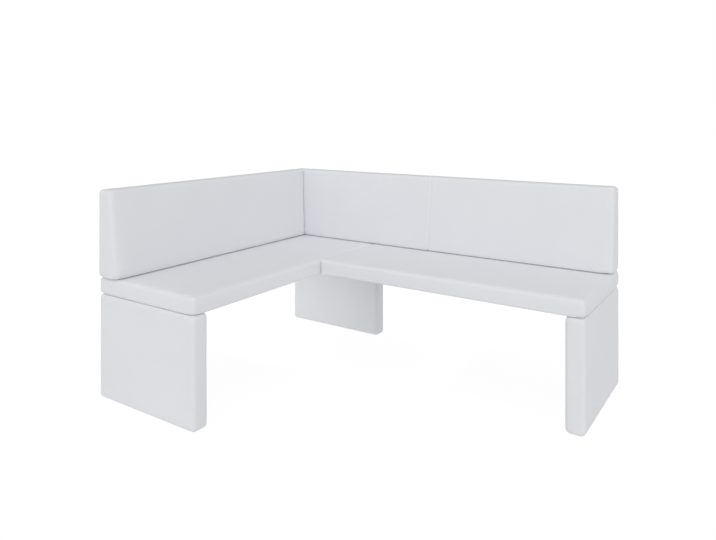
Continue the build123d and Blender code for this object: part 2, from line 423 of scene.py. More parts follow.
@dataclass(frozen=True)
class FauxLeather:
    """Cool white coated textile with a fine pebble grain, painted shade in the grain's valleys and a soft satin
    sheen.
    """

    name: str = "cover_white_leather"
    colour: Colour = (0.868, 0.876, 0.909)
    # painted shade: the base colour in the pebble valleys is darkened by this factor
    painted_valley_shade: float = 0.965
    patch_shade: float = 0.985
    patch_scale: float = 5.0
    pebble: float = 0.0016
    pebble_slope: float = 0.35     # how far a pebble rises from its edge before it is flat
    pores_per_pebble: float = 3.0
    pore_share: float = 0.3        # the pores' share of the relief
    relief: Relief = Relief(0.00010, 0.35)
    roughness: Range = (0.43, 0.53)
    specular: float = 0.3

    def material(self) -> bpy.types.Material:
        """Build the finish.

        Returns:
            The new material.
        """
        board = NodeBoard(self.name)
        pebbles = board.cells(1.0 / self.pebble, "DISTANCE_TO_EDGE").outputs["Distance"]
        domes = board.mapped(pebbles, window=(0.0, self.pebble_slope))
        pores = board.noise(self.pores_per_pebble / self.pebble, detail=3.0)
        patches = board.noise(self.patch_scale, detail=3.0)
        # the tone: painted shade in the pebble valleys, times random patches of real tone
        tone = board.maths("MULTIPLY", board.mapped(domes, (self.painted_valley_shade, 1.0)),
                           board.mapped(patches, (self.patch_shade, 1.0), MID_NOISE))
        board.set(Base_Color=board.mixed(tone, (0.0, 0.0, 0.0), self.colour))
        board.set(Roughness=board.mapped(pores, self.roughness, MID_NOISE), Specular_IOR_Level=self.specular)
        board.bump(board.maths("ADD", domes, board.maths("MULTIPLY", pores, self.pore_share)), self.relief)
        return board.material


@dataclass(frozen=True)
class SpunCloth:
    """Black spun-bonded dust cloth with an embossed dot grid."""

    name: str = "black_dust_cloth"
    colour: Colour = (0.022, 0.022, 0.025)
    fibre_colour: Colour = (0.050, 0.050, 0.054)
    dot_pitch: float = 0.0028
    dot_edge: Range = (0.25, 0.75)
    fibre_scale: float = 420.0
    fibre_stretch: Triple = (1.0, 3.0, 1.0)
    fibre_share: float = 0.4       # the fibres' share of the relief
    relief: Relief = Relief(0.0002, 0.8)
    roughness: float = 0.85

    def material(self) -> bpy.types.Material:
        """Build the finish.

        Returns:
            The new material.
        """
        board = NodeBoard(self.name)
        axes = board.add("ShaderNodeSeparateXYZ", inputs={0: board.place}).outputs
        turns = 2.0 * math.pi / self.dot_pitch
        waves = [board.maths("COSINE", board.maths("MULTIPLY", axes[i], turns)) for i in (0, 1)]
        dots = board.mapped(board.maths("MULTIPLY", *waves), (1.0, 0.0), self.dot_edge)
        fibres = board.noise(self.fibre_scale, detail=4.0, place=board.stretched(self.fibre_stretch))
        board.set(Base_Color=board.mixed(fibres, self.colour, self.fibre_colour), Roughness=self.roughness)
        board.bump(board.maths("ADD", dots, board.maths("MULTIPLY", fibres, self.fibre_share)), self.relief)
        return board.material


@dataclass(frozen=True)
class Foam:
    """Pale open-cell upholstery foam, with painted shade in its cell pits."""

    name: str = "cream_foam"
    colour: Colour = (0.80, 0.72, 0.50)
    # painted shade: how much darker the foam is painted in its cell pits
    painted_pit_shade: float = 0.75
    cell: float = 0.0012
    relief: Relief = Relief(0.0004, 0.9)
    roughness: float = 0.95

    def material(self) -> bpy.types.Material:
        """Build the finish.

        Returns:
            The new material.
        """
        board = NodeBoard(self.name)
        pits = board.cells(1.0 / self.cell, "F1").outputs["Distance"]
        # painted shade: the colour that the cell pits are darkened to
        dark = shade(self.colour, self.painted_pit_shade)
        board.set(Base_Color=board.mixed(pits, dark, self.colour), Roughness=self.roughness)
        board.bump(pits, self.relief)
        return board.material


@dataclass(frozen=True)
class Spruce:
    """Planed spruce with its growth rings drawn out along one axis."""

    grain: Grain
    colour: Colour = (0.60, 0.41, 0.21)
    late_wood: Colour = (0.40, 0.22, 0.09)
    ring: float = 0.004
    rings_per_wave: float = 4.0
    ring_warp: float = 1.2
    rings_per_board: float = 7.0
    late_power: float = 3.0        # how sharply the late wood ends
    fibre_scale: float = 900.0
    along: float = 0.06            # how much slower the figure changes along the grain
    relief: Relief = Relief(0.00015, 0.5)
    roughness: Range = (0.55, 0.75)

    def material(self) -> bpy.types.Material:
        """Build the finish.

        Returns:
            The new material.
        """
        board = NodeBoard(f"spruce_along_{self.grain.name.lower()}")
        along = board.stretched(tuple(self.along if axis is self.grain else 1.0 for axis in Grain))
        wave = self.ring * self.rings_per_wave
        rings = board.noise(1.0 / wave, detail=3.0, place=along, distortion=self.ring_warp)
        fibres = board.noise(self.fibre_scale, place=along)
        figure = board.maths("FRACT", board.maths("MULTIPLY", rings, self.rings_per_board))
        late = board.maths("POWER", figure, self.late_power)
        board.set(Base_Color=board.mixed(late, self.colour, self.late_wood))
        board.set(Roughness=board.mapped(fibres, self.roughness))
        board.bump(board.maths("ADD", late, fibres), self.relief)
        return board.material


@dataclass(frozen=True)
class Plywood:
    """Birch plywood: a rotary-cut face, and layers that show on the edges."""

    name: str = "birch_plywood"
    colour: Colour = (0.62, 0.43, 0.24)
    dark_layer: Colour = (0.42, 0.26, 0.13)
    layer: float = 0.0016
    edge_slope: float = 0.5        # a face that looks up or down by less than this is an edge
    figure_scale: float = 30.0
    figure_stretch: Triple = (0.15, 1.0, 1.0)
    figure_warp: float = 1.5
    figure_share: float = 0.35
    relief: Relief = Relief(0.0001, 0.4)
    roughness: float = 0.65

    def material(self) -> bpy.types.Material:
        """Build the finish.

        Returns:
            The new material.
        """
        board = NodeBoard(self.name)
        figure = board.noise(self.figure_scale, detail=4.0, place=board.stretched(self.figure_stretch),
                             distortion=self.figure_warp)
        axes = board.add("ShaderNodeSeparateXYZ", inputs={0: board.place}).outputs
        facing = board.add("ShaderNodeNewGeometry").outputs["Normal"]
        upward = board.add("ShaderNodeSeparateXYZ", inputs={0: facing}).outputs["Z"]
        on_edge = board.maths("LESS_THAN", board.maths("ABSOLUTE", upward), self.edge_slope)
        layers = board.maths("PINGPONG", axes["Z"], self.layer)
        stripe = board.maths("MULTIPLY", board.mapped(layers, window=(0.0, self.layer)), on_edge)
        tone = board.maths("ADD", stripe, board.mapped(figure, (0.0, self.figure_share)))
        board.set(Base_Color=board.mixed(tone, self.colour, self.dark_layer), Roughness=self.roughness)
        board.bump(figure, self.relief)
        return board.material


@dataclass(frozen=True)
class PressedBoard:
    """Pressed board made of wood flakes or fibres."""

    name: str
    colour: Colour
    dark_flake: Colour
    flake: float
    flatness: Triple = (1.0, 1.0, 2.2)
    dust_per_flake: float = 1.5
    relief: Relief = Relief(0.0002, 0.5)
    roughness: float = 0.8

    def material(self) -> bpy.types.Material:
        """Build the finish.

        Returns:
            The new material.
        """
        board = NodeBoard(self.name)
        flakes = board.cells(1.0 / self.flake, "F1", board.stretched(self.flatness))
        tone = board.add("ShaderNodeSeparateColor", inputs={0: flakes.outputs["Color"]}).outputs[0]
        dust = board.noise(self.dust_per_flake / self.flake, detail=4.0)
        share = board.maths("MULTIPLY", tone, dust)
        board.set(Base_Color=board.mixed(share, self.colour, self.dark_flake), Roughness=self.roughness)
        board.bump(board.maths("ADD", flakes.outputs["Distance"], dust), self.relief)
        return board.material


@dataclass(frozen=True)
class PowderCoat:
    """Black powder coat with a fine orange-peel relief."""

    name: str = "black_powder_coat"
    colour: Colour = (0.030, 0.030, 0.032)
    worn_colour: Colour = (0.050, 0.050, 0.053)
    grain: float = 0.0009
    scuff_scale: float = 60.0
    scuff_window: Range = (0.4, 0.7)
    relief: Relief = Relief(0.00012, 0.6)
    roughness: Range = (0.38, 0.52)

    def material(self) -> bpy.types.Material:
        """Build the finish.

        Returns:
            The new material.
        """
        board = NodeBoard(self.name)
        peel = board.noise(1.0 / self.grain)
        scuffs = board.noise(self.scuff_scale, detail=5.0)
        worn = board.mapped(scuffs, window=self.scuff_window)
        board.set(Base_Color=board.mixed(worn, self.colour, self.worn_colour))
        board.set(Roughness=board.mapped(scuffs, self.roughness))
        board.bump(peel, self.relief)
        return board.material


@dataclass(frozen=True)
class ZincPlate:
    """Bright zinc plate with faint drawing lines and tarnish."""

    name: str = "bright_zinc"
    colour: Colour = (0.62, 0.64, 0.67)
    tarnish: Colour = (0.50, 0.50, 0.47)
    spot_scale: float = 250.0
    spot_window: Range = (0.45, 0.75)
    line_scale: float = 2500.0
    line_stretch: Triple = (1.0, 1.0, 0.08)
    relief: Relief = Relief(0.00003, 0.5)
    roughness: Range = (0.26, 0.42)

    def material(self) -> bpy.types.Material:
        """Build the finish.

        Returns:
            The new material.
        """
        board = NodeBoard(self.name)
        spots = board.noise(self.spot_scale, detail=4.0)
        lines = board.noise(self.line_scale, detail=1.0, place=board.stretched(self.line_stretch))
        dull = board.mapped(spots, window=self.spot_window)
        board.set(Base_Color=board.mixed(dull, self.colour, self.tarnish))
        board.set(Metallic=1.0, Roughness=board.mapped(spots, self.roughness))
        board.bump(lines, self.relief)
        return board.material


@dataclass(frozen=True)
class GlidePlastic:
    """Hard dark plastic of the floor glides, lightly scuffed."""

    name: str = "glide_plastic"
    colour: Colour = (0.045, 0.045, 0.047)
    scuffed: Colour = (0.11, 0.11, 0.11)
    scuff_scale: float = 400.0
    scuff_stretch: Triple = (1.0, 0.2, 1.0)
    scuff_window: Range = (0.5, 0.8)
    relief: Relief = Relief(0.00005, 0.5)
    roughness: Range = (0.35, 0.6)

    def material(self) -> bpy.types.Material:
        """Build the finish.

        Returns:
            The new material.
        """
        board = NodeBoard(self.name)
        scuffs = board.noise(self.scuff_scale, detail=5.0, place=board.stretched(self.scuff_stretch))
        worn = board.mapped(scuffs, window=self.scuff_window)
        board.set(Base_Color=board.mixed(worn, self.colour, self.scuffed))
        board.set(Roughness=board.mapped(scuffs, self.roughness))
        board.bump(scuffs, self.relief)
        return board.material


@dataclass(frozen=True)
class Plan:
    """The bench's main lines and levels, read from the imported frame."""

    x_back: float
    x_joint: float
    x_long: float
    x_end: float
    y_free: float
    y_end: float
    y_front: float
    y_back: float
    z_leg: float
    z_under: float
    z_seat: float
    z_top: float
    leg_thickness: float
    back_foot: float = 0.124       # a backrest's thickness at the seat
    back_head: float = 0.080       # and at the top

    @classmethod
    def read(cls) -> "Plan":
        """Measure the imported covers.

        Returns:
            The plan.
        """
        short_low, short_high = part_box("short_seat_cover")
        long_low, long_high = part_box("long_seat_cover")
        back_low, back_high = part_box("short_back_cover")
        leg_low, leg_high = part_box("left_leg_cover")
        return cls(
            x_back=short_low.x, x_joint=short_high.x, x_long=long_low.x, x_end=long_high.x,
            y_free=back_low.y, y_end=short_low.y, y_front=long_low.y, y_back=short_high.y,
            z_leg=leg_low.z, z_under=short_low.z, z_seat=back_low.z, z_top=back_high.z,
            leg_thickness=leg_high.y - leg_low.y,
        )

    @property
    def seat_depth(self) -> float:
        """Front edge to back plane."""
        return self.y_back - self.y_front


@dataclass(frozen=True)
class Stretch:
    """How a cover is drawn over its foam."""

    radius: float = 0.017          # rounding of the edges
    step: float = 0.022            # between lattice lines on a flat side
    edge_cuts: int = 3             # lattice lines over half a rounding
    fit: float = 0.0003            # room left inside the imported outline
    side_swell: float = 0.0008     # of a side that nothing presses on
    pressed_power: float = 8.0     # squareness of an edge that two panels press together
    press_width: float = 0.020     # from a pressed edge to a round one
    corner_width: float = 0.020    # from a round corner to a pressed edge
    ease_width: float = 0.060      # from a held place to a full swell
    pressure: float = 4.0          # of the foam on the cover
    stiffness: float = 40.0
    bending: float = 2.0
    quality: int = 6
    frames: int = 20
    held_limit: float = 1e-5       # a point that may move less than this is held
    free_swell: float = 0.0008     # swell from which a cover is free to be uneven
    cover_thickness: float = 0.0014
    broad_wave: float = 0.26
    broad_height: float = 0.0005
    ripple_wave: float = 0.05
    ripple_height: float = 0.0003
    ripple_reach: float = 0.045
    noise_skew: float = 3.7        # sets each panel's unevenness apart
    noise_level: float = 1.3


@dataclass
class PaddedPanel:
    """A foam panel in a stretched cover, in its own frame: length on X, depth on Y and height on Z."""

    name: str
    low: np.ndarray
    high: np.ndarray
    place: Matrix
    cavity_low: np.ndarray
    cavity_high: np.ndarray
    open_sides: tuple[Side, ...] = (Side.UNDER,)
    stretch: Stretch = field(default_factory=Stretch)
    round_power: float = 2.0
    under_power: float = 2.0
    top_power: float = 2.0

    def stations(self, axis: int) -> np.ndarray:
        """The lattice lines along one axis, closer over the rounded edges.

        Args:
            axis: The number of the axis.

        Returns:
            The lines' places, from low to high.
        """
        radius = self.stretch.radius
        angles = np.linspace(math.pi / 4, 0.0, self.stretch.edge_cuts + 1)
        edge = radius * (1.0 - np.tan(angles))
        low = self.low[axis] + self.stretch.fit
        high = self.high[axis] - self.stretch.fit
        count = max(2, round((high - low - 2 * radius) / self.stretch.step))
        middle = np.linspace(low + radius, high - radius, count + 1)[1:-1]
        return np.concatenate([low + edge, middle, (high - edge)[::-1]])

    def lattice(self) -> tuple[np.ndarray, Faces, list[Side]]:
        """A square-edged block of four-sided faces.

        Returns:
            Its points, its faces and the side that each face is on.
        """
        lines = [self.stations(axis) for axis in range(3)]
        last = [len(line) - 1 for line in lines]
        numbers: dict[tuple[int, ...], int] = {}
        points, faces, sides = [], [], []

        def number(key: tuple[int, ...]) -> int:
            """Find a lattice point, or add it.

            Args:
                key: The numbers of the lines that it lies on.

            Returns:
                The point's number.
            """
            if key not in numbers:
                numbers[key] = len(points)
                points.append([lines[axis][key[axis]] for axis in range(3)])
            return numbers[key]

        for side in Side:
            axis = int(np.argmax(np.abs(side.value)))
            outward = side.value[axis] > 0
            u, v = [(axis + 1) % 3, (axis + 2) % 3]
            for i in range(last[u]):
                for j in range(last[v]):
                    loop = []
                    for di, dj in ((0, 0), (1, 0), (1, 1), (0, 1)):
                        key = [0, 0, 0]
                        key[axis] = last[axis] if outward else 0
                        key[u], key[v] = i + di, j + dj
                        loop.append(number(tuple(key)))
                    faces.append(tuple(loop if outward else reversed(loop)))
                    sides.append(side)
        return np.array(points), faces, sides

    def squareness(self, points: np.ndarray) -> np.ndarray:
        """How square each edge is, from round to pressed against its neighbour.

        Args:
            points: The lattice points.

        Returns:
            The power that each point is rounded with.
        """
        fit = self.stretch
        margins = np.minimum(points - self.low, self.high - points) - fit.radius
        ends, flanks = ramp(margins[:, 0], fit.corner_width), ramp(margins[:, 1], fit.corner_width)
        beside_corner = 1.0 - (1.0 - ends) * (1.0 - flanks)
        under = 1.0 - ramp(points[:, 2] - self.low[2] - fit.radius, fit.press_width)
        top = 1.0 - ramp(self.high[2] - fit.radius - points[:, 2], fit.press_width)
        pressed = (self.under_power - self.round_power) * under + (self.top_power - self.round_power) * top
        return self.round_power + pressed * beside_corner

    def side_limits(self, points: np.ndarray) -> dict[Side, np.ndarray | float]:
        """How far each side may swell at each point, in metres."""
        return {}

    def seated(self, core: np.ndarray, outward: np.ndarray) -> np.ndarray:
        """Put the rounded points in place.

        Args:
            core: The nearest point of the block's core to each point.
            outward: The direction from there, one long on a flat side.

        Returns:
            The panel's points.
        """
        return core + outward * self.stretch.radius

    def rounded(self, points: np.ndarray) -> np.ndarray:
        """Round the edges of a square-edged block.

        Args:
            points: The lattice points.

        Returns:
            The points of the padded form.
        """
        inset = self.stretch.radius + self.stretch.fit
        core = np.clip(points, self.low + inset, self.high - inset)
        reach = (points - core) / self.stretch.radius
        power = self.squareness(points)[:, None]
        length = (np.abs(reach) ** power).sum(axis=1, keepdims=True) ** (1.0 / power)
        return self.seated(core, reach / length)

    def swell_limit(self, points: np.ndarray, outward: np.ndarray) -> np.ndarray:
        """The farthest that each point may move.

        Args:
            points: The padded form's points.
            outward: The unit direction out of the cover at each point.

        Returns:
            The limits in metres.
        """
        limit = np.zeros(len(points))
        for side, swell in self.side_limits(points).items():
            facing = np.clip(outward @ np.array(side.value), 0.0, 1.0)
            limit += swell * facing ** 2
        return limit

    def inflate(self, shell: bpy.types.Object, limit: np.ndarray) -> np.ndarray:
        """Blow the cover up from inside, as the foam does, and see how far it goes.

        Args:
            shell: The padded form.
            limit: How far each point may move; a point that may not move is held.

        Returns:
            The points after the cover has stretched, within their limits.
        """
        start = coordinates(shell.data)
        held = shell.vertex_groups.new(name="held")
        held.add([int(i) for i in np.flatnonzero(limit < self.stretch.held_limit)], 1.0, "REPLACE")
        cloth = shell.modifiers.new("cover", "CLOTH")
        cloth.settings.quality = self.stretch.quality
        cloth.settings.tension_stiffness = self.stretch.stiffness
        cloth.settings.compression_stiffness = self.stretch.stiffness
        cloth.settings.shear_stiffness = self.stretch.stiffness / 2
        cloth.settings.bending_stiffness = self.stretch.bending
        cloth.settings.use_pressure = True
        cloth.settings.uniform_pressure_force = self.stretch.pressure
        cloth.settings.vertex_group_mass = held.name
        cloth.settings.effector_weights.gravity = 0.0
        cloth.collision_settings.use_collision = False
        cloth.point_cache.frame_end = self.stretch.frames
        scene = bpy.context.scene
        for number in range(1, self.stretch.frames + 1):
            scene.frame_set(number)
        graph = bpy.context.evaluated_depsgraph_get()
        moved = coordinates(shell.evaluated_get(graph).data) - start
        shell.modifiers.clear()
        scene.frame_set(1)
        distance = np.linalg.norm(moved, axis=1)
        LOG.info("%s: cover moved %.1f mm at most", self.name, distance.max() * 1000)
        room = np.maximum(limit, ALMOST_NOTHING)
        eased = room * np.tanh(distance / room) / np.maximum(distance, ALMOST_NOTHING)
        return start + moved * eased[:, None]

    def unevenness(self, points: np.ndarray) -> np.ndarray:
        """Small hollows and tension ripples of a hand-stretched cover.

        Args:
            points: The cover's points.

        Returns:
            How far each point stands out, in metres.
        """
        fit = self.stretch
        origin = Vector((len(self.name), fit.noise_skew * len(self.name), fit.noise_level))
        broad = np.array([noise.noise(Vector(p) / fit.broad_wave + origin) for p in points])
        fine = np.array([noise.noise(Vector(p) / fit.ripple_wave + origin) for p in points])
        margins = np.sort(np.minimum(points - self.low, self.high - points), axis=1)
        near_edge = np.exp(-np.clip(margins[:, 1], 0.0, None) / fit.ripple_reach)
        return broad * fit.broad_height + fine * fit.ripple_height * near_edge

    def sew(self, cover: bpy.types.Object) -> None:
        """Add the cover's seams; a plain panel has none that shows."""

    def seam_room(self, points: np.ndarray) -> np.ndarray:
        """How much deeper the foam lies at each point, to leave room for the seams."""
        return np.zeros(len(points))

    def foam_faces(self, faces: Faces, sides: list[Side], points: np.ndarray) -> tuple[np.ndarray, Faces]:
        """Hollow the padded form out for the frame inside it.

        Args:
            faces: The lattice faces.
            sides: The side that each face is on.
            points: The foam's outer points.

        Returns:
            The points and faces of the hollow foam.
        """
        inner = np.clip(points, self.cavity_low, self.cavity_high)
        count = len(points)
        flat_low = self.low + self.stretch.radius + self.stretch.fit * 2
        flat_high = self.high - self.stretch.radius - self.stretch.fit * 2
        kept = []
        for face, side in zip(faces, sides):
            middle = points[list(face)].mean(axis=0)
            axis = int(np.argmax(np.abs(side.value)))
            inside = [flat_low[i] < middle[i] < flat_high[i] for i in range(3) if i != axis]
            if side not in self.open_sides or not all(inside):
                kept.append(face)
        edges = {(a, b) for f in kept for a, b in zip(f, f[1:] + f[:1])}
        rim = [(b, a, a + count, b + count) for a, b in edges if (b, a) not in edges]
        lining = [tuple(i + count for i in reversed(f)) for f in kept]
        return np.concatenate([points, inner]), kept + lining + rim

    def build(self, leather: bpy.types.Material, foam: bpy.types.Material) -> None:
        """Make the stretched cover and the foam in it.

        Args:
            leather: The cover's finish.
            foam: The foam's finish.
        """
        lattice, faces, sides = self.lattice()
        shell = new_object(f"{self.name}_upholstery", self.rounded(lattice), faces)
        limit = self.swell_limit(coordinates(shell.data), normals(shell.data))
        move_points(shell.data, self.inflate(shell, limit))
        shell.vertex_groups.clear()
        shell.modifiers.new("smooth", "SUBSURF").levels = 1
        apply_modifiers(shell)
        points, outward = coordinates(shell.data), normals(shell.data)
        knots, knot_normals = points[:len(lattice)], outward[:len(lattice)]
        inset = self.stretch.cover_thickness + self.seam_room(knots)
        self.add_foam(knots - knot_normals * inset[:, None], faces, sides, foam)
        freedom = np.minimum(1.0, self.swell_limit(points, outward) / self.stretch.free_swell)
        move_points(shell.data, points + outward * (self.unevenness(points) * freedom)[:, None])
        self.sew(shell)
        shell.data.transform(self.place)
        settle(shell, "white_faux_leather", leather, f"{self.name}_cover")

    def add_foam(self, outer: np.ndarray, faces: Faces, sides: list[Side], foam: bpy.types.Material) -> None:
        """Make the hollow foam that lies just inside a stretched cover.

        Args:
            outer: The points of the foam's outside, one for each lattice point.
            faces: The lattice faces.
            sides: The side that each face is on.
            foam: The foam's finish.
        """
        points, hollow = self.foam_faces(faces, sides, outer)
        block = new_object(f"{self.name}_foam_block", points, hollow, smooth=False)
        weld(block.data)
        block.data.transform(self.place)
        settle(block, "foam", foam, f"{self.name}_foam")


@dataclass
class Seat(PaddedPanel):
    """A seat slab, with its front at Y 0, crowned in front of the backrests."""

    back_line: float = 0.0
    corner_line: float = math.inf
    joint_line: float = math.inf
    pressed_start: bool = False
    crown: float = 0.003
    under_power: float = 6.5

    def squareness(self, points: np.ndarray) -> np.ndarray:
        """Edges are round, but square where the two seats press together.

        Args:
            points: The lattice points.

        Returns:
            The power that each point is rounded with.
        """
        fit = self.stretch
        pressed = np.zeros(len(points))
        if self.pressed_start:
            pressed = 1.0 - ramp(points[:, 0] - self.low[0] - fit.radius, fit.press_width)
        if math.isfinite(self.joint_line):
            near = 1.0 - ramp(points[:, 1] - self.low[1] - fit.radius, fit.press_width)
            beside = ramp(points[:, 0] - self.joint_line, fit.press_width)
            corner = 1.0 - ramp(points[:, 0] - self.high[0] + 2 * fit.radius, fit.press_width)
            pressed = near * beside * corner
        power = self.round_power + (fit.pressed_power - self.round_power) * pressed
        return np.maximum(super().squareness(points), power)

    def side_limits(self, points: np.ndarray) -> dict[Side, np.ndarray | float]:
        """The sitting area crowns; the rest swells a little where nothing presses on it.

        Args:
            points: The padded form's points.

        Returns:
            The limits of the sides that swell, in metres.
        """
        fit = self.stretch
        open_depth = ramp(self.back_line - points[:, 1], fit.ease_width)
        open_length = ramp(self.corner_line - points[:, 0], fit.ease_width)
        beside = ramp(self.joint_line - points[:, 0], fit.ease_width)
        return {
            Side.TOP: self.crown * open_depth * open_length,
            Side.NEAR: fit.side_swell * beside,
            Side.FAR: fit.side_swell,
            Side.START: 0.0 if self.pressed_start else fit.side_swell,
            Side.END: fit.side_swell,
        }


@dataclass
class Backrest(PaddedPanel):
    """A wedge backrest along X, with its rear plane at Y 0 and its raked front towards -Y."""

    head: float = 0.0
    swell: float = 0.0025
    under_power: float = 14.0
    covered_front: float = -1.0
    raked_end: bool = False
    rake_run: float = 0.30
    seam_line: float | None = None
    seam_depth: float = 0.0036
    seam_width: float = 0.0048
    seam_lift: float = 0.0010
    seam_lift_width: float = 0.014
    seam_cuts: tuple[float, ...] = (-5.0, -3.0, -1.6, -0.8, 0.0, 0.8, 1.6, 3.0, 5.0)
    cut_snap: float = 1e-5

    @property
    def foot(self) -> float:
        """Thickness at the seat."""
        return float(self.high[1] - self.low[1])

    @property
    def rake(self) -> float:
        """The front's lean from upright, in radians."""
        return math.atan2(self.foot - self.head, self.high[2] - self.low[2])

    def squareness(self, points: np.ndarray) -> np.ndarray:
        """Edges are round, but square where the end presses on the other backrest.

        Args:
            points: The lattice points.

        Returns:
            The power that each point is rounded with.
        """
        fit = self.stretch
        power = super().squareness(points)
        if not self.raked_end:
            return power
        pressed = ramp(points[:, 0] - self.high[0] + fit.radius + fit.press_width, fit.press_width)
        return np.maximum(power, self.round_power + (fit.pressed_power - self.round_power) * pressed)

    def seated(self, core: np.ndarray, outward: np.ndarray) -> np.ndarray:
        """Lean the front back into a wedge, and the pressed end with the other backrest's front.

        Args:
            core: The nearest point of the block's core to each point.
            outward: The direction from there, one long on a flat side.

        Returns:
            The backrest's points.
        """
        radius = self.stretch.radius
        inset = radius + self.stretch.fit
        rise = (core[:, 2] - self.low[2]) / (self.high[2] - self.low[2])
        forward = (self.high[1] - inset - core[:, 1]) / (self.foot - 2 * inset)
        thickness = self.foot + (self.head - self.foot) * rise
        front = -thickness + inset / math.cos(self.rake)
        points = core.copy()
        points[:, 1] = -inset + forward * (front + inset)
        facing = outward.copy()
        to_front = np.clip(-outward[:, 1], 0.0, None)
        facing[:, 1] = np.where(outward[:, 1] > 0, outward[:, 1], -to_front * math.cos(self.rake))
        facing[:, 2] += to_front * math.sin(self.rake)
        points += facing * radius
        if self.raked_end:
            share = np.clip((points[:, 0] - self.high[0] + self.rake_run) / self.rake_run, 0.0, 1.0)
            height = (points[:, 2] - self.low[2]) / (self.high[2] - self.low[2])
            points[:, 0] += share * height * (self.foot - self.head)
        return points

    def side_limits(self, points: np.ndarray) -> dict[Side, np.ndarray | float]:
        """The leaning face swells, but not where the other backrest covers it.

        Args:
            points: The padded form's points.

        Returns:
            The limits of the sides that swell, in metres.
        """
        fit = self.stretch
        return {
            Side.NEAR: self.swell * ramp(points[:, 0] - self.covered_front, fit.ease_width),
            Side.FAR: fit.side_swell,
            Side.TOP: fit.side_swell,
            Side.START: fit.side_swell,
            Side.END: 0.0 if self.raked_end else fit.side_swell,
        }

    def seam_room(self, points: np.ndarray) -> np.ndarray:
        """The foam gives way behind the seam.

        Args:
            points: The cover's points.

        Returns:
            How much deeper the foam lies at each point, in metres.
        """
        if self.seam_line is None:
            return np.zeros(len(points))
        return np.where(np.abs(points[:, 0] - self.seam_line) < 2 * self.stretch.step, self.seam_depth, 0.0)

    def sew(self, cover: bpy.types.Object) -> None:
        """Press a plain seam into the cover, all the way round, where its two halves are sewn together.

        Args:
            cover: The smoothed cover, still in the panel's own frame.
        """
        if self.seam_line is None:
            return
        work = bmesh.new()
        work.from_mesh(cover.data)
        for share in self.seam_cuts:
            spot = (self.seam_line + share * self.seam_width, 0.0, 0.0)
            geometry = work.verts[:] + work.edges[:] + work.faces[:]
            bmesh.ops.bisect_plane(work, geom=geometry, dist=self.cut_snap, plane_co=spot,
                                   plane_no=Side.END.value)
        for face in work.faces:
            face.smooth = True
        work.to_mesh(cover.data)
        work.free()
        points = coordinates(cover.data)
        across = points[:, 0] - self.seam_line
        groove = -self.seam_depth * np.exp(-(across / self.seam_width) ** 2)
        lift = self.seam_lift * np.exp(-(across / self.seam_lift_width) ** 2)
        move_points(cover.data, points + normals(cover.data) * (groove + lift)[:, None])


@dataclass
class Leg(PaddedPanel):
    """A panel leg, with its depth on X and its inner face towards +Y."""

    open_sides: tuple[Side, ...] = (Side.UNDER, Side.TOP)
    bracket_drop: float = 0.09
    top_power: float = 8.0

    def side_limits(self, points: np.ndarray) -> dict[Side, np.ndarray | float]:
        """The standing faces swell a little, but not behind the brackets.

        Args:
            points: The padded form's points.

        Returns:
            The limits of the sides that swell, in metres.
        """
        fit = self.stretch
        below = ramp(self.high[2] - self.bracket_drop - points[:, 2], fit.ease_width)
        return {
            Side.NEAR: fit.side_swell,
            Side.FAR: fit.side_swell * below,
            Side.START: fit.side_swell,
            Side.END: fit.side_swell,
        }


def placed(x: float, y: float, quarters: int = 0) -> Matrix:
    """A place on the floor, turned by a number of quarter turns."""
    return Matrix.Translation((x, y, 0.0)) @ Matrix.Rotation(quarters * QUARTER_TURN, 4, "Z")


def panel(name: str, place: Matrix, low: Triple, high: Triple, *frame_kinds: str) -> dict[str, object]:
    """The fields that every padded panel has.

    Args:
        name: The panel's name.
        place: Its place in the row frame.
        low: Its low corner in its own frame.
        high: Its high corner there.
        frame_kinds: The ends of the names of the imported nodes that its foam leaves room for.

    Returns:
        The fields by their names.
    """
    back = place.inverted()
    nodes = [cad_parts[f"{name}_{kind}"] for kind in frame_kinds]
    spots = np.array([back @ Vector(p) for node in nodes for p in coordinates(node.data)])
    return {
        "name": name, "place": place, "low": np.array(low, float), "high": np.array(high, float),
        "cavity_low": spots.min(axis=0), "cavity_high": spots.max(axis=0),
    }


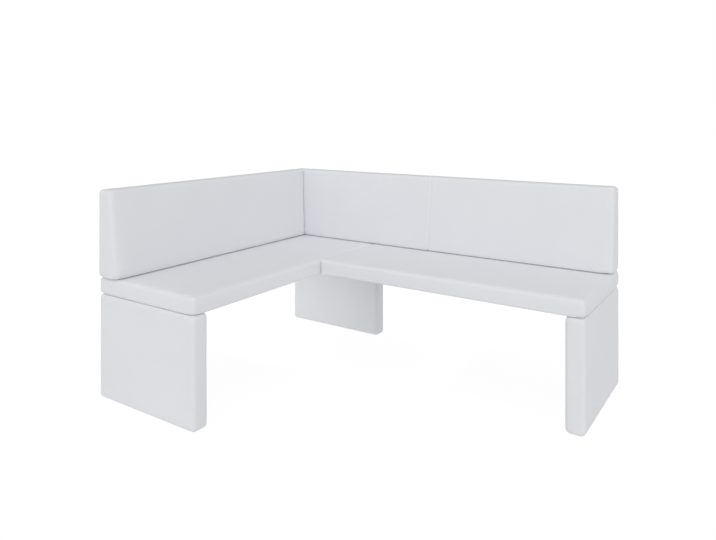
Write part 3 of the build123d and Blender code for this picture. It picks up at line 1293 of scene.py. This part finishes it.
@dataclass
class Upholstery:
    """All padded panels of the bench."""

    plan: Plan
    back_seam_x: float = 0.014     # the long backrest's seam
    back_gap: float = 0.0006       # between the two backrests

    def seats(self) -> list[PaddedPanel]:
        """Lay the two seats out.

        Returns:
            The short and the long seat.
        """
        plan = self.plan
        low = (0.0, 0.0, plan.z_under)
        short_high = (plan.y_back - plan.y_end, plan.seat_depth, plan.z_seat)
        long_high = (plan.x_end - plan.x_long, plan.seat_depth, plan.z_seat)
        back_line = plan.seat_depth - plan.back_foot
        kinds = ("front_rail", "rear_rail", "deck")
        return [
            Seat(
                **panel("short_seat", placed(plan.x_joint, plan.y_end, 1), low, short_high, *kinds),
                back_line=back_line, corner_line=short_high[0] - plan.back_foot,
                joint_line=plan.y_front - plan.y_end,
            ),
            Seat(
                **panel("long_seat", placed(plan.x_long, plan.y_front), low, long_high, *kinds),
                back_line=back_line, pressed_start=True,
            ),
        ]

    def backrests(self) -> list[PaddedPanel]:
        """Lay the two backrests out.

        Returns:
            The short and the long backrest.
        """
        plan = self.plan
        low = (0.0, -plan.back_foot, plan.z_seat)
        short_high = (plan.y_back - plan.y_free - plan.back_foot - self.back_gap, 0.0, plan.z_top)
        long_high = (plan.x_end - plan.x_back, 0.0, plan.z_top)
        kinds = ("bottom_rail", "top_rail", "front_board")
        return [
            Backrest(
                **panel("short_back", placed(plan.x_back, plan.y_free, 1), low, short_high, *kinds),
                head=plan.back_head, raked_end=True,
            ),
            Backrest(
                **panel("long_back", placed(plan.x_back, plan.y_back), low, long_high, *kinds),
                head=plan.back_head, covered_front=plan.back_foot, seam_line=self.back_seam_x - plan.x_back,
            ),
        ]

    def legs(self) -> list[PaddedPanel]:
        """Lay the three legs out.

        Returns:
            The left, the corner and the right leg.
        """
        plan = self.plan
        low, high = (0.0, 0.0, plan.z_leg), (plan.seat_depth, plan.leg_thickness, plan.z_under)
        places = {
            "left": placed(plan.x_back, plan.y_end),
            "corner": placed(plan.x_joint, plan.y_back, 2),
            "right": placed(plan.x_end, plan.y_front, 1),
        }
        return [Leg(**panel(f"{name}_leg", place, low, high, "panel")) for name, place in places.items()]

    def build(self) -> None:
        """Make every panel's cover and foam."""
        leather = FauxLeather().material()
        foam = Foam().material()
        for padded in self.seats() + self.backrests() + self.legs():
            padded.build(leather, foam)


@dataclass
class DustCloth:
    """The cloth stapled under one seat, slack between the cross rails."""

    seat: str
    grain: Grain
    step: float = 0.016
    sag: float = 0.0035
    sag_ease: float = 0.08         # from a rail to the full sag
    sag_spread: float = 0.35
    drift_scale: float = 9.0
    thickness: float = 0.0006
    corner: float = 0.008
    staple_pitch: float = 0.045
    staple_inset: float = 0.007
    corner_insets: int = 3         # from a corner to its first staple
    spare_insets: int = 4          # left out of the length that the staples share
    staple_skew: float = 0.16
    skew_noise: Triple = (31.0, 31.0, 2.0)
    staple_crown: float = 0.010
    staple_leg: float = 0.005
    wire: float = 0.0009

    def extent(self) -> tuple[Vector, Vector]:
        """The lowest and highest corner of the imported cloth."""
        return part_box(f"{self.seat}_dust_cloth")

    def slack(self, points: np.ndarray) -> np.ndarray:
        """How far each point hangs below the rails.

        Args:
            points: The cloth's points.

        Returns:
            The sag in metres.
        """
        low, high = self.extent()
        along = self.grain.value
        across = 1 - along
        boxes = [(s.min(axis=0), s.max(axis=0)) for s in solids_of(f"{self.seat}_cross_rails")]
        distance = np.full(len(points), np.inf)
        for rail_low, rail_high in boxes:
            gap = np.maximum(rail_low[along] - points[:, along], points[:, along] - rail_high[along])
            distance = np.minimum(distance, np.clip(gap, 0.0, None))
        for node in ("front_rail", "rear_rail"):
            rail_low, rail_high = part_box(f"{self.seat}_{node}")
            gap = np.maximum(rail_low[across] - points[:, across], points[:, across] - rail_high[across])
            distance = np.minimum(distance, np.clip(gap, 0.0, None))
        for side in (low, high):
            distance = np.minimum(distance, np.abs(points[:, along] - side[along]))
        drift = np.array([noise.noise(Vector(p) * self.drift_scale) for p in points])
        return self.sag * np.tanh(distance / self.sag_ease) * (1.0 + self.sag_spread * drift)

    def build(self, cloth: bpy.types.Material, zinc: bpy.types.Material) -> None:
        """Make the cloth and its staples.

        Args:
            cloth: The cloth's finish.
            zinc: The staples' finish.
        """
        low, high = self.extent()
        counts = [max(2, round((high[i] - low[i]) / self.step)) for i in (0, 1)]
        xs, ys = [np.linspace(low[i], high[i], counts[i] + 1) for i in (0, 1)]
        points = np.array([(x, y, high.z) for y in ys for x in xs])
        points[:, :2] = self.round_corners(points[:, :2], low, high)
        points[:, 2] -= self.slack(points)
        row = counts[0] + 1
        faces = [(j * row + i, (j + 1) * row + i, (j + 1) * row + i + 1, j * row + i + 1)
                 for j in range(counts[1]) for i in range(counts[0])]
        sheet = new_object(f"{self.seat}_lining", points, faces)
        solid = sheet.modifiers.new("weight", "SOLIDIFY")
        solid.thickness = self.thickness
        solid.offset = 1.0
        apply_modifiers(sheet)
        settle(sheet, "dust_cloth", cloth, f"{self.seat}_dust_cloth")
        staples = self.add_staples(low, high, zinc)

    def round_corners(self, plan: np.ndarray, low: Vector, high: Vector) -> np.ndarray:
        """Draw the outermost lattice points in at the four corners.

        Args:
            plan: The points' X and Y.
            low: The cloth's lowest corner.
            high: The cloth's highest corner.

        Returns:
            The points with rounded corners.
        """
        bottom = np.array(low[:2]) + self.corner
        top = np.array(high[:2]) - self.corner
        core = np.clip(plan, bottom, top)
        reach = plan - core
        length = np.maximum(np.linalg.norm(reach, axis=1, keepdims=True), ALMOST_NOTHING)
        widest = np.maximum(np.abs(reach).max(axis=1, keepdims=True), ALMOST_NOTHING)
        return core + reach * widest / length

    def add_staples(self, low: Vector, high: Vector, zinc: bpy.types.Material) -> bpy.types.Object:
        """Drive staples round the cloth's edge.

        Args:
            low: The cloth's lowest corner.
            high: The cloth's highest corner.
            zinc: The staples' finish.

        Returns:
            The staples, as one piece.
        """
        level = high.z - self.thickness
        inset = self.staple_inset
        end = self.corner_insets * inset
        staples = Gathered()
        for axis in (0, 1):
            length = high[axis] - low[axis] - self.spare_insets * inset
            run = np.linspace(low[axis] + end, high[axis] - end, round(length / self.staple_pitch) + 1)
            for edge in (low[1 - axis] + inset, high[1 - axis] - inset):
                for place in run:
                    x, y = (place, edge) if axis == 0 else (edge, place)
                    spot = Vector((x, y, 1.0)) * Vector(self.skew_noise)
                    turn = axis * QUARTER_TURN + self.staple_skew * noise.noise(spot)
                    put = Matrix.Translation((x, y, level)) @ Matrix.Rotation(turn, 4, "Z")
                    staples.add(*self.staple(), put)
        return settle(staples.made(f"{self.seat}_staples"), "zinc_fasteners", zinc)

    def staple(self) -> tuple[list[Triple], Faces]:
        """One staple on a square wire: a crown below the cloth and two legs up into the rail.

        Returns:
            Its points and faces.
        """
        half = self.staple_crown / 2
        bend = self.wire
        path = [(-half, self.staple_leg), (-half, 0.2 * bend), (-half + bend, -bend / 2),
                (half - bend, -bend / 2), (half, 0.2 * bend), (half, self.staple_leg)]
        across = [(1, 0), (0.8, 0.6), (0.4, 1), (-0.4, 1), (-0.8, 0.6), (-1, 0)]
        thick = self.wire / 2
        points, faces = [], []
        for (x, z), (side, up) in zip(path, across):
            for width, height in ((-1, -1), (1, -1), (1, 1), (-1, 1)):
                points.append((x + side * thick * height, width * thick, z + up * thick * height))
        for ring in range(len(path) - 1):
            for k in range(4):
                a, b = ring * 4 + k, ring * 4 + (k + 1) % 4
                faces.append((a, b, b + 4, a + 4))
        last = 4 * (len(path) - 1)
        faces += [(3, 2, 1, 0), (last, last + 1, last + 2, last + 3)]
        return points, faces


@dataclass
class Turning:
    """A form turned round its own Z axis, with a radius that may change with the angle."""

    cuts: int

    def rings(self, profile: list) -> tuple[np.ndarray, Faces]:
        """Skin a list of rings from one end to the other.

        Args:
            profile: For each ring its level and its radius, a number or a function of the angle.

        Returns:
            The points and faces of the closed form.
        """
        angles = np.arange(self.cuts) * 2.0 * math.pi / self.cuts
        points, faces = [], []
        for level, radius in profile:
            for angle in angles:
                reach = radius(angle) if callable(radius) else radius
                points.append((reach * math.cos(angle), reach * math.sin(angle), level))
        for ring in range(len(profile) - 1):
            for k in range(self.cuts):
                a = ring * self.cuts + k
                b = ring * self.cuts + (k + 1) % self.cuts
                faces.append((a, b, b + self.cuts, a + self.cuts))
        last = (len(profile) - 1) * self.cuts
        faces.append(tuple(range(self.cuts - 1, -1, -1)))
        faces.append(tuple(range(last, last + self.cuts)))
        return np.array(points), faces


@dataclass
class HexFastener:
    """A hex-head screw or bolt that stands for one node of packed fasteners."""

    node: str
    flats: float
    head: float
    shank: float
    pitch: float
    tip: Tip
    end_slice: float = 1e-4        # depth of the slice that tells the head from the tip
    flange: float = 0.0
    flange_top: float = 0.0011
    flange_root: float = 0.0012
    collar_edge: float = 0.0006
    collar_round: float = 0.0002
    thread_depth: float = 0.0005
    thread_end: float = 0.0005     # plain shank below the head
    chamfer: float = 0.0007
    face_share: float = 0.93       # the head's flat top, as a share of its flats
    dish: float = 0.0004           # the hollow in the head's top
    dish_shares: Range = (0.8, 0.72)
    cuts: int = 18
    thread_cuts: int = 4

    def hexagon(self, angle: float) -> float:
        """The head's radius at an angle."""
        corner = (angle + math.pi / 6) % (math.pi / 3) - math.pi / 6
        return self.flats / 2 / math.cos(corner)

    def profile(self, length: float) -> list:
        """Levels and radii from the tip up to the head's top, with the bearing face at 0.

        Args:
            length: The shank's length below the bearing face.

        Returns:
            The rings of one fastener.
        """
        tip, end_radius = [self.shank * share for share in self.tip.value]
        rings = [(-length, end_radius)]
        count = int((length - tip) / self.pitch * self.thread_cuts)
        for i in range(count + 1):
            level = -length + tip + i * self.pitch / self.thread_cuts

            def thread(angle: float, turn: float = i / self.thread_cuts) -> float:
                """The thread's radius on one ring.

                Args:
                    angle: The place on the ring.
                    turn: The thread's turns up to this ring.

                Returns:
                    The radius in metres.
                """
                wave = abs((turn - angle / (2.0 * math.pi)) % 1.0 * 2.0 - 1.0)
                return self.shank - self.thread_depth * (1.0 - wave)

            rings.append((min(level, -self.thread_end), thread))
        collar = self.flats / 2 + self.flange
        rings += [(0.0, self.shank), (0.0, collar), (self.collar_edge, collar + self.collar_round)]
        if self.flange:
            rings += [(self.flange_top, collar - self.collar_round), (self.flange_root, self.hexagon)]
        else:
            rings += [(self.collar_edge, self.hexagon)]
        face = self.face_share * self.flats / 2
        rim, floor = [face * share for share in self.dish_shares]
        rings += [(self.head - self.chamfer, self.hexagon), (self.head, face), (self.head, rim)]
        rings += [(self.head - self.dish, floor)]
        return rings

    def build(self, zinc: bpy.types.Material) -> None:
        """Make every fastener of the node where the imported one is.

        Args:
            zinc: The finish.
        """
        fasteners = Gathered()
        for solid in solids_of(self.node):
            put, length = self.seat_of(solid)
            fasteners.add(*Turning(self.cuts).rings(self.profile(length)), put)
        settle(fasteners.made(f"{self.node}_threaded"), "zinc_fasteners", zinc, self.node)

    def seat_of(self, solid: np.ndarray) -> tuple[Matrix, float]:
        """Find a packed fastener's bearing face.

        Args:
            solid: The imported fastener's points.

        Returns:
            Its place with the head towards +Z, and the shank's length.
        """
        low, high = solid.min(axis=0), solid.max(axis=0)
        axis = int(np.argmax(high - low))
        others = [i for i in range(3) if i != axis]
        at_low = np.ptp(solid[solid[:, axis] < low[axis] + self.end_slice][:, others], axis=0).max()
        at_high = np.ptp(solid[solid[:, axis] > high[axis] - self.end_slice][:, others], axis=0).max()
        sign = 1.0 if at_high > at_low else -1.0
        centre = (low + high) / 2
        centre[axis] = (high[axis] if sign > 0 else low[axis]) - sign * self.head
        direction = Vector([sign if i == axis else 0.0 for i in range(3)])
        put = Matrix.Translation(Vector(centre)) @ direction.to_track_quat("Z", "Y").to_matrix().to_4x4()
        return put, float(high[axis] - low[axis] - self.head)


@dataclass
class Washers:
    """The wide washers under the backrest bolts, with rounded rims."""

    node: str = "back_washers"
    edge: float = 0.0004
    cuts: int = 36
    end_caps: int = 2              # faces that a turned form ends with and a ring doesn't need

    def build(self, zinc: bpy.types.Material) -> None:
        """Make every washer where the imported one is.

        Args:
            zinc: The finish.
        """
        washers = Gathered()
        for solid in solids_of(self.node):
            low, high = solid.min(axis=0), solid.max(axis=0)
            centre = (low + high) / 2
            reach = np.linalg.norm(solid[:, :2] - centre[:2], axis=1)
            rim, bore = reach.max(), reach.min()
            section = [
                (low[2], bore + self.edge), (low[2], rim - self.edge), (low[2] + self.edge, rim),
                (high[2] - self.edge, rim), (high[2], rim - self.edge), (high[2], bore + self.edge),
                (high[2] - self.edge, bore), (low[2] + self.edge, bore),
            ]
            points, faces = Turning(self.cuts).rings(section + section[:1])
            washers.add(points, faces[:-self.end_caps], placed(centre[0], centre[1]))
        made = washers.made("back_washers_rounded")
        weld(made.data)
        settle(made, "zinc_fasteners", zinc, self.node)


@dataclass
class Glides:
    """The nail-on glides under one leg: a domed disc on a nail."""

    leg: str
    cuts: int = 32
    nail: float = 0.0015
    nail_point: float = 0.003
    nail_end_share: float = 0.2
    dimple: float = 0.004
    dimple_depth: float = 0.0006
    dimple_shares: Range = (0.4, 0.8)
    rim: tuple[Range, ...] = ((0.0, 0.86), (0.15, 0.93), (0.4, 0.985), (0.7, 1.0), (1.0, 1.0))

    def build(self, plastic: bpy.types.Material) -> None:
        """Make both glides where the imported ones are.

        Args:
            plastic: The finish.
        """
        node = f"{self.leg}_leg_glides"
        glides = Gathered()
        for solid in solids_of(node):
            low, high = solid.min(axis=0), solid.max(axis=0)
            centre = (low + high) / 2
            disc = float(np.linalg.norm(solid[:, :2] - centre[:2], axis=1).max())
            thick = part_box(f"{self.leg}_leg_cover")[0].z - low[2]
            profile = [(low[2] + self.dimple_depth, self.dimple * share) for share in self.dimple_shares]
            profile += [(low[2], self.dimple)]
            profile += [(low[2] + height * thick, disc * share) for height, share in self.rim]
            profile += [(low[2] + thick, self.nail), (high[2] - self.nail_point, self.nail)]
            profile += [(high[2], self.nail * self.nail_end_share)]
            glides.add(*Turning(self.cuts).rings(profile), placed(centre[0], centre[1]))
        settle(glides.made(f"{self.leg}_leg_glide_discs"), "glide_plastic", plastic, node)


@dataclass
class Underwork:
    """Everything below and inside the padding: timber, boards, steel, cloths, screws and glides."""

    legs: tuple[str, ...] = ("left", "corner", "right")

    def dress(self, material: bpy.types.Material, *nodes: str) -> None:
        """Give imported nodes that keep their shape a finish.

        Args:
            material: The finish.
            nodes: The nodes' names.
        """
        for node in nodes:
            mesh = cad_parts[node].data
            mesh.materials.clear()
            mesh.materials.append(material)
            LOG.info("%s: packed shape", node)

    def dress_frames(self) -> None:
        """Finish the timber frames and boards."""
        spruce = {grain: Spruce(grain).material() for grain in Grain}
        along = {"short": Grain.Y, "long": Grain.X}
        across = {"short": Grain.X, "long": Grain.Y}
        for side in along:
            rails = [f"{side}_seat_front_rail", f"{side}_seat_rear_rail"]
            rails += [f"{side}_back_bottom_rail", f"{side}_back_top_rail"]
            self.dress(spruce[along[side]], *rails)
            self.dress(spruce[across[side]], f"{side}_seat_cross_rails")
            self.dress(spruce[Grain.Z], f"{side}_back_uprights")
        self.dress(Plywood().material(), "short_seat_deck", "long_seat_deck")
        hardboard = PressedBoard("brown_hardboard", colour=(0.20, 0.10, 0.045), dark_flake=(0.11, 0.05, 0.02),
                                 flake=0.0008)
        self.dress(hardboard.material(), "short_back_front_board", "long_back_front_board")
        chipboard = PressedBoard("raw_chipboard", colour=(0.50, 0.35, 0.19), dark_flake=(0.27, 0.16, 0.07),
                                 flake=0.0035)
        self.dress(chipboard.material(), *[f"{leg}_leg_panel" for leg in self.legs])

    def build(self) -> None:
        """Make the cloths and small fittings, and finish the rest."""
        self.dress_frames()
        coat = PowderCoat().material()
        brackets = [f"{leg}_leg_{spot}_bracket" for leg in self.legs for spot in ("front", "rear")]
        self.dress(coat, *brackets, "front_joining_plate", "rear_joining_plate")
        zinc = ZincPlate().material()
        self.dress(zinc, "back_inserts")
        cloth = SpunCloth().material()
        DustCloth("short_seat", Grain.Y).build(cloth, zinc)
        DustCloth("long_seat", Grain.X).build(cloth, zinc)
        for node in ("leg_screws", "seat_screws"):
            HexFastener(node, flats=0.010, head=0.004, shank=0.003, pitch=0.0026, tip=Tip.POINTED,
                        flange=0.0012).build(zinc)
        HexFastener("back_bolts", flats=0.013, head=0.0053, shank=0.004, pitch=0.00125,
                    tip=Tip.CHAMFERED).build(zinc)
        Washers().build(zinc)
        plastic = GlidePlastic().material()
        for leg in self.legs:
            Glides(leg).build(plastic)


@dataclass(frozen=True)
class SoftLight:
    """A distant soft light, as wide as a large diffuser."""

    name: str
    towards: Triple
    spread_deg: float
    strength: float

    def build(self) -> None:
        """Hang the light."""
        lamp = bpy.data.lights.new(self.name, "SUN")
        lamp.energy = self.strength
        lamp.angle = math.radians(self.spread_deg)
        hung = bpy.data.objects.new(self.name, lamp)
        hung.rotation_euler = Vector(self.towards).to_track_quat("Z", "Y").to_euler()
        bpy.context.scene.collection.objects.link(hung)


@dataclass(frozen=True)
class FillPanel:
    """A low lit panel that stands under a seat or behind the bench and lifts the shade there."""

    name: str
    place: Triple
    towards: Triple
    width: float
    height: float
    power: float

    def build(self) -> None:
        """Stand the panel up."""
        lamp = bpy.data.lights.new(self.name, "AREA")
        lamp.shape = "RECTANGLE"
        lamp.size = self.width
        lamp.size_y = self.height
        lamp.energy = self.power
        panel = bpy.data.objects.new(self.name, lamp)
        panel.location = self.place
        panel.rotation_euler = Vector(self.towards).to_track_quat("-Z", "Y").to_euler()
        panel.visible_camera = False
        bpy.context.scene.collection.objects.link(panel)


@dataclass(frozen=True)
class Photograph:
    """The camera of the photograph: level, with the horizon shifted up in the picture."""

    width_px: float = 716.0
    height_px: float = 540.0
    focal_px: float = 636.3
    horizon_px: float = 117.0
    yaw_deg: float = 33.836
    place: Triple = (1.4237, -2.1723, 1.1203)
    sensor: float = 36.0

    def build(self) -> None:
        """Set the camera up."""
        lens = bpy.data.cameras.new("camera")
        lens.sensor_fit = "HORIZONTAL"
        lens.sensor_width = self.sensor
        lens.lens = self.focal_px / self.width_px * self.sensor
        lens.shift_y = -(self.height_px / 2 - self.horizon_px) / self.width_px
        camera = bpy.data.objects.new("camera", lens)
        camera.location = self.place
        camera.rotation_euler = (QUARTER_TURN, 0.0, math.radians(self.yaw_deg))
        bpy.context.scene.collection.objects.link(camera)
        bpy.context.scene.camera = camera


@dataclass
class Studio:
    """A plain white studio: a pale, softly lit floor, even light all round and a few soft lights."""

    even_light: float = 0.400
    background_light: float = 1.0
    floor_reach: float = 40.0
    floor_drop: float = 0.0005
    floor_colour: float = 0.5
    floor_light: float = 0.337
    floor_white: float = 0.96
    floor_shade: float = 0.07
    lights: tuple[SoftLight, ...] = (
        SoftLight("front_light", (0.0, -1.0, 0.1), 160.0, 1.382),
        SoftLight("side_light", (0.97, -0.1, 0.12), 160.0, 0.769),
        SoftLight("overhead_light", (0.0, 0.0, 1.0), 60.0, 0.143),
    )
    fill_panels: tuple[FillPanel, ...] = (
        FillPanel("front_fill", (-0.70, -0.02, 0.20), (0.0, 1.0, 0.0), 0.46, 0.24, 0.931),
        FillPanel("side_fill", (0.25, 0.50, 0.20), (-1.0, -0.15, 0.0), 0.50, 0.30, 0.305),
        FillPanel("rear_fill", (-1.5, 2.7, 0.36), (0.35, -1.0, 0.0), 3.0, 0.70, 12.0),
    )

    def build(self) -> None:
        """Light the scene and lay the floor."""
        self.add_world()
        self.add_floor()
        for light in self.lights + self.fill_panels:
            light.build()
        bpy.context.scene.view_settings.view_transform = "Standard"

    def split_by_ray(self, tree: bpy.types.NodeTree, lit: bpy.types.Node, seen: bpy.types.Node,
                     output: bpy.types.Node) -> None:
        """Show one shader to the camera, and let another one light the scene.

        Args:
            tree: The node tree.
            lit: The shader for the light.
            seen: The shader for the camera.
            output: The tree's output node.
        """
        rays = tree.nodes.new("ShaderNodeLightPath")
        mix = tree.nodes.new("ShaderNodeMixShader")
        tree.links.new(rays.outputs["Is Camera Ray"], mix.inputs["Fac"])
        tree.links.new(lit.outputs[0], mix.inputs[1])
        tree.links.new(seen.outputs[0], mix.inputs[2])
        tree.links.new(mix.outputs["Shader"], output.inputs["Surface"])

    def add_world(self) -> None:
        """Even light all round, in front of a white background."""
        world = bpy.data.worlds.new("white_studio")
        world.use_nodes = True
        tree = world.node_tree
        tree.nodes.clear()
        backgrounds = []
        for strength in (self.even_light, self.background_light):
            background = tree.nodes.new("ShaderNodeBackground")
            background.inputs["Color"].default_value = WHITE
            background.inputs["Strength"].default_value = strength
            backgrounds.append(background)
        self.split_by_ray(tree, *backgrounds, tree.nodes.new("ShaderNodeOutputWorld"))
        bpy.context.scene.world = world

    def floor_side(self, tree: bpy.types.NodeTree, colour: float, light: float) -> bpy.types.Node:
        """A matt surface with a light of its own.

        Args:
            tree: The node tree.
            colour: How much light the surface gives back.
            light: How much it adds.

        Returns:
            The shader of both together.
        """
        matt = tree.nodes.new("ShaderNodeBsdfDiffuse")
        matt.inputs["Color"].default_value = (colour, colour, colour, 1.0)
        glow = tree.nodes.new("ShaderNodeEmission")
        glow.inputs["Strength"].default_value = light
        both = tree.nodes.new("ShaderNodeAddShader")
        tree.links.new(matt.outputs["BSDF"], both.inputs[0])
        tree.links.new(glow.outputs["Emission"], both.inputs[1])
        return both

    def add_floor(self) -> None:
        """A wide pale floor, lit from below, that takes only a faint shadow."""
        reach = self.floor_reach
        spots = ((-reach, -reach), (reach, -reach), (reach, reach), (-reach, reach))
        points = np.array([(x, y, -self.floor_drop) for x, y in spots])
        floor = new_object("floor", points, [(0, 1, 2, 3)], smooth=False)
        material = bpy.data.materials.new("pale_floor")
        material.use_nodes = True
        tree = material.node_tree
        tree.nodes.clear()
        lit = self.floor_side(tree, self.floor_colour, self.floor_light)
        seen = self.floor_side(tree, self.floor_shade, self.floor_white)
        self.split_by_ray(tree, lit, seen, tree.nodes.new("ShaderNodeOutputMaterial"))
        floor.data.materials.append(material)


def main() -> None:
    """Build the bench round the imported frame."""
    logging.basicConfig(level=logging.INFO, format="%(name)s: %(message)s")
    Photograph().build()
    Studio().build()
    Upholstery(Plan.read()).build()
    Underwork().build()


if __name__ == "__main__":
    main()
